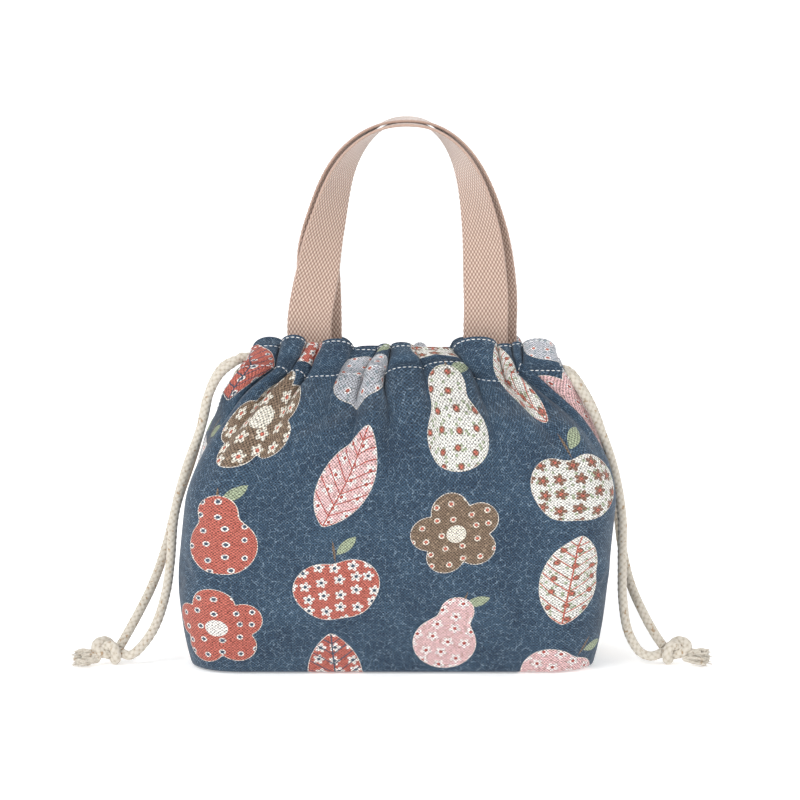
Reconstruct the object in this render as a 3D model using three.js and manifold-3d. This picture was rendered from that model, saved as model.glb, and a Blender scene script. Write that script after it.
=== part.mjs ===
// Drawstring bento bag: a boxed canvas bag with a lining, a gathered mouth with a cord casing on each lip,
// two webbing handles and two cotton drawcords, each knotted at one side of the bag.
// Millimetres, +Z up, front of the bag towards -Y, origin at the middle of the flat base.

import * as THREE from "three";
import { mergeVertices } from "three/addons/utils/BufferGeometryUtils.js";
import Module from "manifold-3d";

// Bag body
const BASE_WIDTH = 228; // flat base, left to right
const BASE_DEPTH = 130; // flat base, front to back
const CORNER_RADIUS = 26; // upright corners, in plan
const SWELL = 6.5; // the filled sides stand out this far past the edge of the base
const FACE_SWELL = 10; // the front and back stand out this far
const SWELL_HEIGHT = 58; // where the walls reach that fullness
const TAPER_START = 92; // where the sides begin to lean in towards the mouth
const TAPER_POWER = 1.8; // how late their lean comes
const FACE_TAPER_START = 68; // where the front and back begin to lean in
const FACE_TAPER_POWER = 3.2; // most of it comes close under the mouth
const STITCH_HEIGHT = 155; // stitch line under the casings, where the panels end
const SLIT_STOP = 126; // top of the side seams; the slit above it lets the cords out
const CLOTH = 1; // canvas
const LINING = 0.6; // lining cloth
const SEAM_GAP = 0.3; // clearance between pieces that are sewn together

// Gathered mouth
const MOUTH_WIDTH = 160; // gathered width of a panel at the stitch line
const LIP_SPACING = 28; // between the centre lines of the two casings
const PLEATS = 8; // gathers across one lip
const PLEAT_DEPTH = 2.5; // how far a gather swings in and out
const PLEAT_LENGTH = 46; // how far the gathers run down the panel
const CASING_HEIGHT = 22; // stitch line to top fold
const CASING_THICKNESS = 13.2; // puffed out by the cords
const CASING_OVERHANG = 4.5; // a casing's ends stand out past the panel
const CASING_END_CUT = 12; // its inner wall is drawn in this far at each end
const CASING_WAVE = 0.4; // share of a gather that shows at the casing's mid height

// Webbing handles
const WEBBING_WIDTH = 25;
const WEBBING_THICKNESS = 2;
const HANDLE_SPAN = 99; // between the middles of a handle's two sewn ends
const HANDLE_STAND = 10; // a sewn end stands up this far above the casing before it can bend
const SEWN_LENGTH = 20; // length of a sewn end behind the casing
const HANDLE_RISE = 111.4; // bend line to the top of the front handle's arch
const HANDLE_SHIFT = 4.8; // the arch leans this far to the right
const HANDLE_NEST = 3.3; // the back handle arches this far over the front one
const HANDLE_SPREAD = 6; // between the middles of the two handles at their tops
const BACK_SHIFT = 5.5; // the back handle's ends are sewn this far to the right of the front one's
const ARCH_POWER = 2; // 2 is an ellipse, more is squarer
const TWIST_START = 0.08; // share of the rise below which the webbing still lies flat

// Drawcords
const CORD_DIAMETER = 5.4;
const CORD_SPACING = 6; // between the two cords that share a casing, one above the other
const CORD_STUB = 64; // length of a tail that lies inside the casing, so that it can be drawn out
const TURN_INSET = 5.5; // a loop turns this far inside the casing's end
const TURN_RADIUS = 7; // bend of a loop where it leaves a casing
const KNOT_RADIUS = 7; // across the knot
const KNOT_LENGTH = 15; // along the cords
const FRAY_LENGTH = 14; // frayed ends past the knot
const FRAY_RADIUS = 5.2; // where they splay out

// Where a knot lies beside the bag, out from the middle, and the way its frayed ends point, on the right.
const KNOT_REACH = { left: 161.5, right: 155 };
const KNOT_FORWARD = 42;
const KNOT_HEADING = -0.42; // radians from +X, towards the front

// Free stretch of each tail, from the casing's end to the knot: out from the middle, y and z.
const TAILS = {
  left: {
    front: [
      [99, -17, 160.5],
      [106.5, -21, 148],
      [113, -24, 130],
      [120.6, -26, 108],
      [125.2, -28, 82],
      [126.8, -31, 56],
      [129.4, -35, 38],
      [135.6, -40, 20],
      [144.4, -43.5, 8.5],
      [149.1, -43.2, 5.6],
      [153.1, -41.5, 6.4],
    ],
    back: [
      [99, 17, 161],
      [107.5, 20, 148.5],
      [114.5, 18, 130],
      [120.5, 13, 108],
      [126.5, 6, 84],
      [131.5, -4, 60],
      [138, -15, 41],
      [145.4, -26, 26],
      [151.8, -32.6, 14.6],
      [155.1, -36.1, 9],
    ],
  },
  right: {
    front: [
      [97.5, -17, 157.5],
      [105.5, -21, 146],
      [113, -24, 130],
      [120.6, -26, 108],
      [125.2, -28, 82],
      [125.4, -31, 56],
      [125.6, -35, 36],
      [128.5, -40, 18],
      [135, -43.5, 7.5],
      [141, -43.4, 5.2],
      [146.6, -41.5, 6.4],
    ],
    back: [
      [97.5, 17, 158],
      [106.5, 20, 146.5],
      [114.5, 18, 130],
      [120.5, 13, 108],
      [125, 6, 84],
      [127.5, -4, 60],
      [131.5, -15, 41],
      [138, -26, 26],
      [144.5, -32.6, 14.6],
      [148.6, -36.1, 9],
    ],
  },
};

// Finishes
const CANVAS = { color: 0x42586d, roughness: 0.9, metalness: 0 };
const LINING_CLOTH = { color: 0xd9d3c7, roughness: 0.85, metalness: 0 };
const WEBBING = { color: 0xcdb2a4, roughness: 0.8, metalness: 0 };
const COTTON = { color: 0xe2d8c8, roughness: 0.95, metalness: 0 };

// Sizes that follow from those above
const CASING_TOP = STITCH_HEIGHT + CASING_HEIGHT;
const CASING_MIDDLE = STITCH_HEIGHT + CASING_HEIGHT / 2;
const CASING_HALF = MOUTH_WIDTH / 2 + CASING_OVERHANG;
const LIP_OFFSET = LIP_SPACING / 2;
const SEWN_OFFSET =
  LIP_OFFSET - CASING_THICKNESS / 2 - CASING_WAVE * PLEAT_DEPTH - SEAM_GAP - WEBBING_THICKNESS / 2;
const BEND_HEIGHT = CASING_TOP + HANDLE_STAND;
const COLUMNS = PLEATS * 4;

const wasm = await Module();
wasm.setup();

const smooth = (low, high, value) => THREE.MathUtils.smoothstep(value, low, high);
const lerp = THREE.MathUtils.lerp;

// Half of the base outline, from the left side seam round the front to the right one.
function baseOutline() {
  const x = BASE_WIDTH / 2;
  const y = BASE_DEPTH / 2;
  const r = CORNER_RADIUS;
  const outline = new THREE.Path();
  outline.moveTo(-x, 0);
  outline.lineTo(-x, r - y);
  outline.absarc(r - x, r - y, r, Math.PI, 1.5 * Math.PI, false);
  outline.lineTo(x - r, -y);
  outline.absarc(x - r, r - y, r, 1.5 * Math.PI, 2 * Math.PI, false);
  outline.lineTo(x, 0);
  return outline;
}

const OUTLINE = baseOutline();

// A gather's swing at a share of the way along the lip; the lip's ends stay still.
const gather = (share) => PLEAT_DEPTH * Math.sin(share * PLEATS * 2 * Math.PI);

// A point of the front panel's outer face. Share runs along the panel from seam to seam.
function wallPoint(share, height) {
  const base = OUTLINE.getPointAt(share);
  const tangent = OUTLINE.getTangentAt(share);
  const swell = lerp(SWELL, FACE_SWELL, Math.abs(tangent.x));
  const fullness = swell * (1 - (1 - Math.min(height / SWELL_HEIGHT, 1)) ** 2.5);
  const full = new THREE.Vector2(base.x + tangent.y * fullness, base.y - tangent.x * fullness);
  const climb = (start) => THREE.MathUtils.clamp((height - start) / (STITCH_HEIGHT - start), 0, 1);
  const lean = climb(TAPER_START) ** TAPER_POWER;
  const faceLean = climb(FACE_TAPER_START) ** FACE_TAPER_POWER;
  const nearSeam = 1 - smooth(0, 0.14, Math.min(share, 1 - share));
  const part = lerp(faceLean, smooth(SLIT_STOP, STITCH_HEIGHT, height), nearSeam);
  const swing = gather(share) * smooth(STITCH_HEIGHT - PLEAT_LENGTH, STITCH_HEIGHT, height);
  const x = lerp(full.x, (share - 0.5) * MOUTH_WIDTH, lean);
  const y = lerp(full.y, -LIP_OFFSET, part) + swing;
  return new THREE.Vector3(x, Math.min(y, -SEAM_GAP / 2), height);
}

// Rows of points over a panel's outer face: out across half of the base from its middle, then up the wall.
function panelRows(baseShares, heightShares) {
  const shares = Array.from({ length: COLUMNS + 1 }, (_, i) => i / COLUMNS);
  const rows = baseShares.map((out) =>
    shares.map((share) => {
      const edge = wallPoint(share, 0);
      return new THREE.Vector3(edge.x * out, Math.min(edge.y * out, -SEAM_GAP / 2), 0);
    }),
  );
  heightShares.forEach((rise) => rows.push(shares.map((share) => wallPoint(share, rise * STITCH_HEIGHT))));
  return rows;
}

// The same rows, moved in from the outer face by a depth.
function inset(rows, depth) {
  const last = rows.length - 1;
  return rows.map((row, r) =>
    row.map((point, c) => {
      if (r === 0) return point.clone().setZ(point.z + depth);
      const along = row[Math.min(c + 1, COLUMNS)].clone().sub(row[Math.max(c - 1, 0)]);
      const up = rows[Math.min(r + 1, last)][c].clone().sub(rows[r - 1][c]);
      const normal = up.cross(along);
      if (point.y === -SEAM_GAP / 2) normal.setY(0);
      if (r === last) normal.setZ(0);
      return point.clone().addScaledVector(normal.normalize(), depth);
    }),
  );
}

// Triangles gathered point by point into one closed surface.
class Surface {
  constructor() {
    this.positions = [];
  }
  triangle(a, b, c) {
    for (const p of [a, b, c]) this.positions.push(p.x, p.y, p.z);
  }
  quad(a, b, c, d) {
    this.triangle(a, b, c);
    this.triangle(a, c, d);
  }
  // A band of quads between two rows of points.
  band(low, high) {
    for (let i = 0; i + 1 < low.length; i++) this.quad(low[i], low[i + 1], high[i + 1], high[i]);
  }
  geometry() {
    const positions = new THREE.Float32BufferAttribute(this.positions, 3);
    const made = mergeVertices(new THREE.BufferGeometry().setAttribute("position", positions), 1e-4);
    made.computeVertexNormals();
    return made;
  }
}

// Cloth between an outer and an inner set of rows, whose first row is a single point.
function clothSolid(outer, inner) {
  const cloth = new Surface();
  const last = outer.length - 1;
  for (let r = 0; r < last; r++) {
    for (let c = 0; c < COLUMNS; c++) {
      if (r === 0) {
        cloth.triangle(outer[0][0], outer[1][c + 1], outer[1][c]);
        cloth.triangle(inner[0][0], inner[1][c], inner[1][c + 1]);
        continue;
      }
      cloth.quad(outer[r][c], outer[r][c + 1], outer[r + 1][c + 1], outer[r + 1][c]);
      cloth.quad(inner[r][c], inner[r + 1][c], inner[r + 1][c + 1], inner[r][c + 1]);
    }
  }
  cloth.band(outer[last], inner[last]);
  const column = (rows, c) => rows.map((row) => row[c]);
  cloth.band(column(outer, 0), column(inner, 0));
  cloth.band(column(inner, COLUMNS), column(outer, COLUMNS));
  return cloth.geometry();
}

const BASE_ROWS = [0, 1];
const WALL_ROWS = [0.03, 0.1, 0.2, 0.37, 0.58, 0.7, 0.8, 0.88, 0.94];

function panelGeometry() {
  const outer = panelRows(BASE_ROWS, [...WALL_ROWS, 1]);
  return clothSolid(outer, inset(outer, CLOTH));
}

// The lining lies just inside its panel and ends just under the stitch line.
function liningGeometry() {
  const wall = panelRows(BASE_ROWS, [...WALL_ROWS, 0.995]);
  const depth = CLOTH + 2 * SEAM_GAP;
  return clothSolid(inset(wall, depth), inset(wall, depth + LINING));
}

// One ring of a casing's section: an ellipse that swings with the gathers, most at its top and bottom.
function casingRing(share, wall) {
  const sides = 10;
  const ring = [];
  for (let i = 0; i < sides; i++) {
    const turn = (i / sides) * 2 * Math.PI;
    const across = Math.sin(turn) * (CASING_THICKNESS / 2 - wall);
    const up = Math.cos(turn) * (CASING_HEIGHT / 2 - SEAM_GAP / 2 - wall);
    const swing = gather(share) * lerp(CASING_WAVE, 1, Math.cos(turn) ** 2);
    const cut = CASING_END_CUT * (0.5 + across / CASING_THICKNESS) * Math.abs(2 * share - 1) ** 8;
    const x = (2 * share - 1) * (CASING_HALF - cut);
    ring.push(new THREE.Vector3(x, across - LIP_OFFSET + swing, CASING_MIDDLE + SEAM_GAP / 2 + up));
  }
  ring.push(ring[0]);
  return ring;
}

// The folded hem of a lip, open at both ends for the cords.
function casingGeometry() {
  const tube = new Surface();
  const rings = (wall) => Array.from({ length: COLUMNS + 1 }, (_, i) => casingRing(i / COLUMNS, wall));
  const outer = rings(0);
  const inner = rings(CLOTH);
  for (let i = 0; i < COLUMNS; i++) {
    tube.band(outer[i + 1], outer[i]);
    tube.band(inner[i], inner[i + 1]);
  }
  tube.band(outer[0], inner[0]);
  tube.band(inner[COLUMNS], outer[COLUMNS]);
  return tube.geometry();
}

// A handle's arch: its middle line, and the webbing's width turning from flat at the roots to edge-on at the top.
function handleGeometry(rootY, topY, nest, shift) {
  const steps = 44;
  const half = WEBBING_THICKNESS / 2;
  const roundEnd = [
    [0.97, 0.25],
    [0.7, 0.72],
  ];
  const point = (turn) => {
    const rise = Math.abs(Math.sin(turn)) ** (2 / ARCH_POWER);
    const reach = Math.sign(-Math.cos(turn)) * Math.abs(Math.cos(turn)) ** (2 / ARCH_POWER);
    const aside = shift * (1 - smooth(0, reach < 0 ? 0.4 : 1, rise)); // gone sooner where it leans inwards
    return new THREE.Vector3(
      reach * (HANDLE_SPAN / 2 + nest * rise) + HANDLE_SHIFT * rise + aside,
      lerp(rootY, topY, rise),
      BEND_HEIGHT + (HANDLE_RISE + nest) * rise,
    );
  };
  const section = (at, along, rise, thickness) => {
    const twist = (smooth(TWIST_START, 1, rise) * Math.PI) / 2;
    const outward = new THREE.Vector3(-along.z, 0, along.x).normalize();
    const width = outward.multiplyScalar(Math.cos(twist)).setY(-Math.sin(twist));
    const normal = along.clone().cross(width).normalize();
    const corner = (a, b) =>
      at
        .clone()
        .addScaledVector(width, (a * WEBBING_WIDTH) / 2)
        .addScaledVector(normal, b * half * thickness);
    const ring = [corner(-1, -1), corner(1, -1), corner(1, 1), corner(-1, 1)];
    return [...ring, ring[0]];
  };
  const rings = [];
  const up = new THREE.Vector3(0, 0, 1);
  const down = new THREE.Vector3(0, 0, -1);
  const root = point(0);
  const end = point(Math.PI);
  roundEnd.forEach(([drop, thin]) => rings.push(section(root.clone().setZ(root.z - half * drop), up, 0, thin)));
  for (let i = 0; i <= steps; i++) {
    const turn = (i / steps) * Math.PI;
    const at = point(turn);
    const ahead = point(Math.min(turn + 0.02, Math.PI)).sub(point(Math.max(turn - 0.02, 0)));
    const along = i === 0 ? up : i === steps ? down : ahead.setY(0).normalize();
    rings.push(section(at, along, (at.z - BEND_HEIGHT) / (HANDLE_RISE + nest), 1));
  }
  roundEnd
    .toReversed()
    .forEach(([drop, thin]) => rings.push(section(end.clone().setZ(end.z - half * drop), down, 0, thin)));
  const strap = new Surface();
  for (let i = 0; i + 1 < rings.length; i++) strap.band(rings[i], rings[i + 1]);
  const [first, final] = [rings[0], rings[rings.length - 1]];
  strap.quad(first[3], first[2], first[1], first[0]);
  strap.quad(final[0], final[1], final[2], final[3]);
  return strap.geometry();
}

// A sewn end of a handle, flat behind its casing, with a round top that clears the webbing as it tips.
function sewnEndGeometry() {
  const half = WEBBING_THICKNESS / 2;
  const top = BEND_HEIGHT - half - SEAM_GAP;
  const profile = new THREE.Shape();
  profile.moveTo(-half, CASING_TOP - SEWN_LENGTH);
  profile.lineTo(half, CASING_TOP - SEWN_LENGTH);
  profile.absarc(0, top - half, half, 0, Math.PI, false);
  profile.closePath();
  const end = new THREE.ExtrudeGeometry(profile, { depth: WEBBING_WIDTH, bevelEnabled: false, curveSegments: 5 });
  return end
    .translate(0, 0, -WEBBING_WIDTH / 2)
    .rotateX(Math.PI / 2)
    .rotateZ(Math.PI / 2);
}

// A cord along a route, with flat ends.
function cordGeometry(route, steps) {
  const sides = 8;
  const section = new THREE.Shape();
  for (let i = 0; i < sides; i++) {
    const turn = ((i + 0.5) / sides) * 2 * Math.PI;
    const at = [(Math.cos(turn) * CORD_DIAMETER) / 2, (Math.sin(turn) * CORD_DIAMETER) / 2];
    if (i === 0) section.moveTo(...at);
    else section.lineTo(...at);
  }
  return new THREE.ExtrudeGeometry(section, { steps, bevelEnabled: false, extrudePath: route });
}

// A tail: straight in its casing, then down the side of the bag to the knot.
function tailGeometry(side, level, y, points) {
  const start = new THREE.Vector3(side * (CASING_HALF - CORD_STUB), y, level);
  const mouth = new THREE.Vector3(side * (CASING_HALF + 3), y, level);
  const free = [mouth, ...points.map(([px, py, pz]) => new THREE.Vector3(side * px, py, pz))];
  const route = new THREE.CurvePath();
  route.add(new THREE.LineCurve3(start, mouth));
  route.add(new THREE.CatmullRomCurve3(free, false, "centripetal"));
  return cordGeometry(route, 26);
}

// The stretch of a cord that stays in the casings: along the front, round the far side slit and back.
function loopGeometry(side, level) {
  const near = side * (CASING_HALF - CORD_STUB - SEAM_GAP);
  const far = -side * (CASING_HALF - TURN_INSET - TURN_RADIUS);
  const across = LIP_OFFSET - TURN_RADIUS;
  const at = (x, y) => new THREE.Vector3(x, y, level);
  const bend = (y) => -side * TURN_RADIUS * Math.SQRT1_2 + far;
  const slant = TURN_RADIUS * (1 - Math.SQRT1_2);
  const outer = far - side * TURN_RADIUS;
  const route = new THREE.CurvePath();
  route.add(new THREE.LineCurve3(at(near, -LIP_OFFSET), at(far, -LIP_OFFSET)));
  const turn = [
    at(far, -LIP_OFFSET),
    at(bend(), slant - LIP_OFFSET),
    at(outer, -across),
    at(outer, across),
    at(bend(), LIP_OFFSET - slant),
    at(far, LIP_OFFSET),
  ];
  route.add(new THREE.CatmullRomCurve3(turn, false, "centripetal"));
  route.add(new THREE.LineCurve3(at(far, LIP_OFFSET), at(near, LIP_OFFSET)));
  return cordGeometry(route, 40);
}

function solidOf(geometry) {
  const bare = geometry.clone();
  bare.deleteAttribute("normal");
  bare.deleteAttribute("uv");
  const merged = mergeVertices(bare, 1e-4);
  const vertProperties = merged.attributes.position.array;
  return new wasm.Manifold(new wasm.Mesh({ numProp: 3, vertProperties, triVerts: merged.index.array }));
}

function geometryOf(solid) {
  const mesh = solid.getMesh();
  const made = new THREE.BufferGeometry();
  made.setAttribute("position", new THREE.BufferAttribute(mesh.vertProperties, 3));
  made.setIndex(new THREE.BufferAttribute(mesh.triVerts, 1));
  made.computeVertexNormals();
  return made;
}

// An overhand knot pulled tight: a round core with two turns of cord wrapped over it, along +X.
function knotGeometry() {
  const core = new THREE.SphereGeometry(1, 12, 8).scale(
    KNOT_LENGTH / 2,
    KNOT_RADIUS * 0.86,
    KNOT_RADIUS * 0.86,
  );
  const wrap = (lean, x) => {
    const ring = new THREE.TorusGeometry(KNOT_RADIUS - CORD_DIAMETER * 0.42, CORD_DIAMETER * 0.42, 8, 12);
    return ring.rotateY(Math.PI / 2 + lean).translate(x, 0, 0);
  };
  const gap = KNOT_LENGTH / 5;
  return geometryOf(solidOf(core).add(solidOf(wrap(0.3, -gap))).add(solidOf(wrap(-0.25, gap))));
}

// The two cut ends, frayed into one splayed tuft, along +X from the knot.
function frayGeometry() {
  const start = KNOT_LENGTH / 2 + SEAM_GAP;
  const profile = [
    [0, 0],
    [FRAY_RADIUS * 0.55, 0],
    [FRAY_RADIUS * 0.85, FRAY_LENGTH * 0.4],
    [FRAY_RADIUS, FRAY_LENGTH * 0.8],
    [FRAY_RADIUS * 0.8, FRAY_LENGTH],
    [0, FRAY_LENGTH * 0.93],
  ];
  const tuft = new THREE.LatheGeometry(
    profile.map(([radius, along]) => new THREE.Vector2(radius, along)),
    12,
  );
  return tuft.rotateZ(-Math.PI / 2).translate(start, 0, 0);
}

const bag = new THREE.Group();

function piece(name, geometry, finish, parent = bag) {
  const mesh = new THREE.Mesh(geometry, new THREE.MeshStandardMaterial(finish));
  mesh.name = name;
  parent.add(mesh);
  return mesh;
}

// Cloth: the back half is the front half turned round.
const frontHalf = new THREE.Group();
const backHalf = new THREE.Group();
backHalf.rotation.z = Math.PI;
bag.add(frontHalf, backHalf);
for (const [lip, half] of Object.entries({ front: frontHalf, back: backHalf })) {
  piece(`${lip}_panel`, panelGeometry(), CANVAS, half);
  piece(`${lip}_lining`, liningGeometry(), LINING_CLOTH, half);
  piece(`${lip}_casing`, casingGeometry(), CANVAS, half);
}

// Handles
for (const [lip, sign, nest, shift] of [
  ["front", -1, 0, 0],
  ["back", 1, HANDLE_NEST, BACK_SHIFT],
]) {
  const arch = handleGeometry(sign * SEWN_OFFSET, (sign * HANDLE_SPREAD) / 2, nest, shift);
  piece(`${lip}_handle`, arch, WEBBING);
  for (const [hand, side] of [
    ["left", -1],
    ["right", 1],
  ]) {
    const end = piece(`${lip}_handle_${hand}_sewn_end`, sewnEndGeometry(), WEBBING);
    end.position.set((side * HANDLE_SPAN) / 2 + shift, sign * SEWN_OFFSET, 0);
  }
}

// Drawcords: the left one runs above the right one in both casings.
for (const [hand, side] of [
  ["left", -1],
  ["right", 1],
]) {
  const level = CASING_MIDDLE - (side * CORD_SPACING) / 2;
  const { front, back } = TAILS[hand];
  piece(`${hand}_cord_front_tail`, tailGeometry(side, level, -LIP_OFFSET, front), COTTON);
  piece(`${hand}_cord_back_tail`, tailGeometry(side, level, LIP_OFFSET, back), COTTON);
  piece(`${hand}_cord_loop`, loopGeometry(side, level), COTTON);
  const end = new THREE.Group();
  end.position.set(side * KNOT_REACH[hand], -KNOT_FORWARD, KNOT_RADIUS + 0.2);
  end.rotation.z = side > 0 ? KNOT_HEADING : Math.PI - KNOT_HEADING;
  bag.add(end);
  piece(`${hand}_cord_knot`, knotGeometry(), COTTON, end);
  piece(`${hand}_cord_frayed_ends`, frayGeometry(), COTTON, end);
}

export default bag;
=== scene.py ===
import math
import random

import bmesh
import bpy
from mathutils import Matrix, Vector, noise
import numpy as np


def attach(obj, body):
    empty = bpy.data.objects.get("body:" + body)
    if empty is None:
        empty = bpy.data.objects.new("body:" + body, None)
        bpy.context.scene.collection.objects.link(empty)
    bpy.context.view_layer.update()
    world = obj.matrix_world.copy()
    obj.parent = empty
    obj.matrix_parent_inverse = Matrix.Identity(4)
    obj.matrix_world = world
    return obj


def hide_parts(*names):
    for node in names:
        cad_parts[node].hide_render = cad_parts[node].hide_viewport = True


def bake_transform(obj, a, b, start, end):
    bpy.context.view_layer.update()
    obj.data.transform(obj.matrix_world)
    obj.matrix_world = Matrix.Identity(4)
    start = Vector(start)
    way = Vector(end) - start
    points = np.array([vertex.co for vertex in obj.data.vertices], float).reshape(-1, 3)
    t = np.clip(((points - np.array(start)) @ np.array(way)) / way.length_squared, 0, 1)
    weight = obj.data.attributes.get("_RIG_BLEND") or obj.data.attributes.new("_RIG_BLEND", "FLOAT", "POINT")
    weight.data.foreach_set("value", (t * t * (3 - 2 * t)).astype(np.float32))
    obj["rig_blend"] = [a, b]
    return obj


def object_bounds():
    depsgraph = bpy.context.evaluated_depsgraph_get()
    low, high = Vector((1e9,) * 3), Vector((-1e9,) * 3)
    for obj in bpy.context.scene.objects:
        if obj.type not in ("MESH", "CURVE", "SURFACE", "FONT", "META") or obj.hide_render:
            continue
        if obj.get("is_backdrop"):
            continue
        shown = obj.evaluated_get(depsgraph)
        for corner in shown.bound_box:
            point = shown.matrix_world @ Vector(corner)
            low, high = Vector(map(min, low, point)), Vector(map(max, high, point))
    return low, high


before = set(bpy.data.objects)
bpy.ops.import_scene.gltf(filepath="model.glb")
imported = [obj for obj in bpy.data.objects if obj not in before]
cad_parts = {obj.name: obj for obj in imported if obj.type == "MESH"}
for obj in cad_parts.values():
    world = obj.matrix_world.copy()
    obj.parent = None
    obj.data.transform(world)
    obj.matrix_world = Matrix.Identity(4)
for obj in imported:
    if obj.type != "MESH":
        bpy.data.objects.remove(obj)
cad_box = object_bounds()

MM = 0.001
scene = bpy.context.scene

# ---- sizes, in millimetres
# As in the solids; only the straps lie a little closer and rounder here, and the cords nearer to the mouth.
BASE_WIDTH, BASE_DEPTH, CORNER_RADIUS = 228, 130, 26
SWELL, FACE_SWELL, SWELL_HEIGHT = 6.5, 10, 58
TAPER_START, TAPER_POWER = 92, 1.8
STITCH_HEIGHT, SLIT_STOP = 155, 126
LIP_OFFSET, CASING_HALF = 14, 84.5
STITCH_FOLD = 0.75  # the share of a fold's depth that its stitch line keeps
CUT_WALL, CUT_CASING, CUT_FOLD = 179, 30, 4  # cloth from base to stitch line, up the casing and round its top
BACK_PRINT = 437  # from the front's middle to the back's, along the print
BASE_LIFT, BASE_INSET = 0.3, 12  # the base above the floor, and how much shorter its seam is than its edge
CLOTH, LINING = 0.9, 0.5
LINING_WIDTH, LINING_DEPTH, LINING_GAP, LINING_LIFT = 200, 62, 1.7, (1.9, 3.4)  # its base, its room
STITCH_STAND, SLUMP = 0.2, (-2.8, 3.2)  # thread above cloth; the filled bag's lean, low and high
WEBBING_WIDTH, WEBBING_THICKNESS = 25, 1.6
FLOAT_ACROSS, FLOAT_ALONG, WEFT_TURN = 2.04, 3.2, 0.12  # the webbing's floats, and its weft's turns
HANDLE_SPAN, BEND_HEIGHT, HANDLE_RISE, HANDLE_SHIFT = 99, 187, 112, 5.2
HANDLE_NEST, HANDLE_SPREAD, SEWN_OFFSET, SEWN_FOOT = 2.2, 6, 5.1, 157
ARCH_POWER, ARCH_PINCH = (2.22, 2.26), (2.4, 0.9)  # of front and back handle; of left and right leg
TWIST, TWIST_START, TWIST_LATE = math.radians(94), 0.08, 0.14  # the front edges dip a little at the top
BACK_SHIFT, BACK_BOW = 5.5, 1.2
BACK_SLIDE, BACK_DROP = 5.5, 3  # how the back half's mouth lies against the front one's
CORD_DIAMETER, CORD_STUB, CORD_OFFSET, TURN_INSET, TURN_RADIUS = 5.4, 64, 12.5, 5.5, 7
KNOT_REACH, KNOT_FORWARD, KNOT_LIFT, KNOT_HEADING = {"left": 161.5, "right": 155}, 42, 7.4, -0.42
KNOT_CORD, HAIR = 2.9, 0.14  # the radius of the tied cord, and of a stray fibre
YARNS, HAIRS, TUFT_Y, TUFT_Z = 38, 70, 1.1, -2.2  # a cut end's yarns, its fibres and its place
TAILS = {  # free stretches from casing to knot: out from the middle, y and z
    "left": ([
        (99, -17, 160.5), (106.5, -21, 148), (113, -24, 130), (120.6, -26, 108), (125.2, -28, 82),
        (126.8, -31, 56), (129.4, -35, 38), (135.6, -40, 20), (144.4, -43.5, 8.5), (149.1, -43.2, 5.6),
        (153.1, -41.5, 6.4),
    ], [
        (99, 17, 161), (107.5, 20, 148.5), (114.5, 18, 130), (120.5, 13, 108), (126.5, 6, 84),
        (131.5, -4, 60), (138, -15, 41), (145.4, -26, 26), (151.8, -32.6, 14.6), (155.1, -36.1, 9),
    ]),
    "right": ([
        (97.5, -17, 157.5), (105.5, -21, 146), (113, -24, 130), (120.6, -26, 108), (125.2, -28, 82),
        (125.4, -31, 56), (125.6, -35, 36), (128.5, -40, 18), (135, -43.5, 7.5), (141, -43.4, 5.2),
        (146.6, -41.5, 6.4),
    ], [
        (97.5, 17, 158), (106.5, 20, 146.5), (114.5, 18, 130), (120.5, 13, 108), (125, 6, 84),
        (127.5, -4, 60), (131.5, -15, 41), (138, -26, 26), (144.5, -32.6, 14.6), (148.6, -36.1, 9),
    ]),
}

# The gathers of the drawn mouth, left to right, a valley and a crest in turn between the two hemmed ends:
# place, depth, and the heights of the stitch line and of the top edge.
GATHERS = [
    (-83, 4, 163, 173), (-74, 8.5, 166, 178), (-65.5, 0, 162, 176), (-59, 8, 165, 183),
    (-52.5, 0, 158, 177), (-48, 5, 163, 178.5), (-43, 0, 157, 175), (-32, 10.5, 160, 181),
    (-24.5, 2, 161.5, 175.5), (-17, 3.5, 160.5, 175.5), (-12.5, 0, 157, 174.5), (-8.5, 7.5, 166, 178),
    (-4.5, 0, 158, 175), (4, 8.5, 165, 178), (10, 2.5, 163, 176), (22, 7, 168, 176),
    (32, 0, 160, 173.5), (45, 9.5, 157, 182), (55, 0, 154, 176), (59.5, 6.5, 161, 178),
    (64, 0.5, 160, 176.5), (66.5, 5.5, 167, 179), (69.5, 0, 163, 176), (78.5, 9, 163, 181),
    (88.5, 4, 162, 173),
]
# Creases that run down from the gathers: how far the cloth below one stands out, and its line over the front.
CREASES = [
    (8, [(-3, 158), (-12, 150), (-21, 145), (-33, 141), (-47, 136), (-63, 130), (-80, 121)]),
    (7, [(92, 137), (87, 140), (74, 143), (57, 143), (35, 146), (19, 150), (8, 155)]),
    (7, [(-54, 163), (-63, 150), (-72, 137), (-84, 120)]),
    (6, [(84, 135), (78, 140), (68, 148), (52, 158)]),
]
CREASE_BELOW, CREASE_ABOVE, CREASE_EDGE = 15, 6, 1.4  # how soon a crease fades each way, and how sharp it is
CREASE_TUCK = 0.7  # the share of it by which the cloth above is tucked in


def smooth(low, high, value):
    t = min(max((value - low) / (high - low), 0), 1)
    return t * t * (3 - 2 * t)


def lerp(a, b, t):
    return a + (b - a) * t


# ---- camera
view_tilt, view_distance, view_centre = math.radians(7), 1.5, Vector((0.0014, 0, 0.1433))
camera = bpy.data.objects.new("camera", bpy.data.cameras.new("camera"))
camera.data.lens = 119.3
camera.location = view_centre + view_distance * Vector((0, -math.cos(view_tilt), math.sin(view_tilt)))
camera.rotation_euler = (math.pi / 2 - view_tilt, 0, 0)
scene.collection.objects.link(camera)
scene.camera = camera


# ---- finishes
def linear(colour):
    """An sRGB hex colour as linear red, green, blue and alpha."""
    shares = [int(colour[i : i + 2], 16) / 255 for i in (1, 3, 5)]
    return (*[c / 12.92 if c <= 0.04045 else ((c + 0.055) / 1.055) ** 2.4 for c in shares], 1)


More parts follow.
